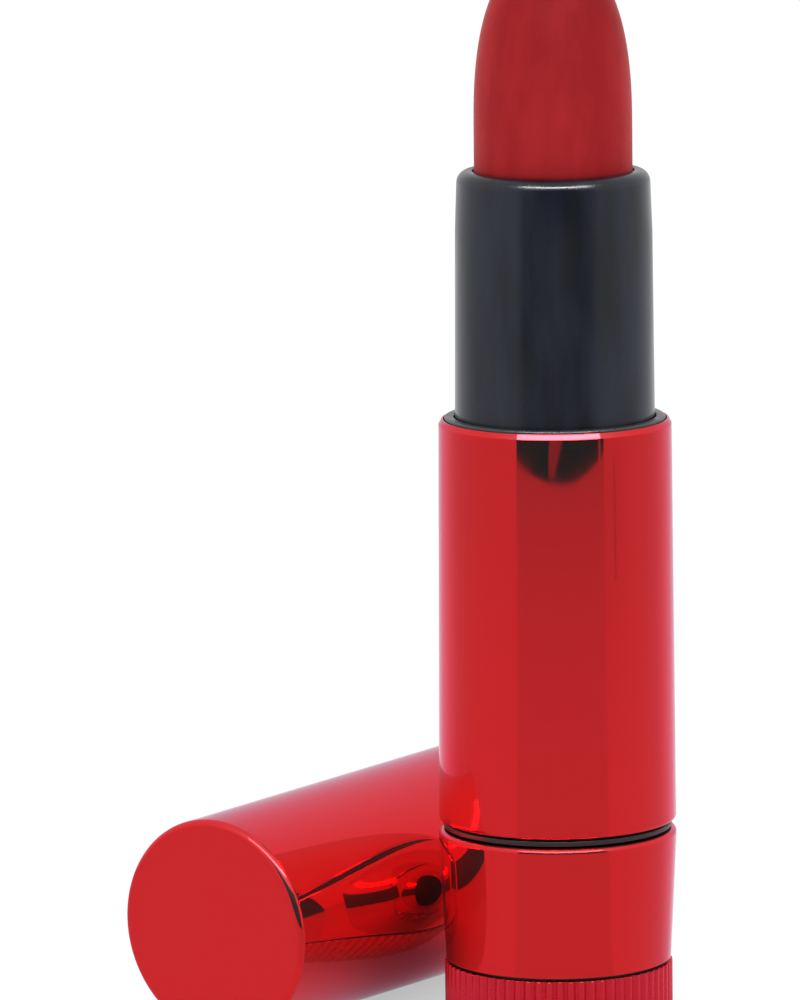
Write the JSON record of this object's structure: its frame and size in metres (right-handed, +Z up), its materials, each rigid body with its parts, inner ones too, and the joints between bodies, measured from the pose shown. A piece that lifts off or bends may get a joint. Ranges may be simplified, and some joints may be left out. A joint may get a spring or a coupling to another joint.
{
  "type": "lipstick case",
  "caption": "Swivel lipstick case standing open on a knurled foot, with a red mirror finish, a black collar, a raised red bullet and its cap lying beside it.",
  "frame": {"origin": "centre of the case's foot, on the surface it stands on", "axes": "+Z up along the case's own axis; the loose cap lies along Y at -X, its closed end towards -Y"},
  "size_m": [0.0386, 0.0432, 0.0882],
  "materials": {
    "red_mirror": "vacuum-metallised mirror red under clear lacquer",
    "red_plated": "metallised red, knurled",
    "black_gloss": "satin-gloss blue-black",
    "black_shoulder": "gloss black",
    "black_plastic": "moulded black",
    "white_plastic": "moulded white",
    "natural_plastic": "natural acetal",
    "silicone": "grey silicone",
    "steel": "turned steel",
    "label_film": "blank satin film",
    "lipstick": "matte wax"
  },
  "bodies": {
    "base": {"grip_ring": "red_plated", "base_shell": "red_mirror", "base_core": "black_plastic", "foot_disc": "black_plastic", "shade_label": "label_film", "base_weight": "steel", "inner_tube": "white_plastic", "lower_o_ring": "silicone"},
    "upper": {"body_shell": "red_mirror", "body_liner": "black_shoulder", "bearing_ring": "black_plastic", "collar": "black_gloss", "cam_sleeve": "natural_plastic", "retaining_ring": "natural_plastic", "upper_o_ring": "silicone"},
    "carrier": {"carrier_cup": "white_plastic", "bullet": "lipstick"},
    "cap": {"cap_shell": "red_mirror", "cap_liner": "black_plastic", "cap_snap_ring": "black_plastic"}
  },
  "joints": [
    {"name": "twist", "type": "hinge", "parent": "base", "child": "upper", "pos_m": [0, 0, 0.017], "axis": [0, 0, 1], "range_deg": [0, 540]},
    {"name": "lift", "type": "slide", "parent": "base", "child": "carrier", "axis": [0, 0, 1], "range_m": [-0.02025, 0]},
    {"name": "cap_slide", "type": "slide", "parent": "base", "child": "cap", "axis": [0, -1, 0], "range_m": [0, 0.05]}
  ],
  "couplings": [
    {"joint": "lift", "follows": "twist", "m_per_rad": -0.0021485}
  ]
}
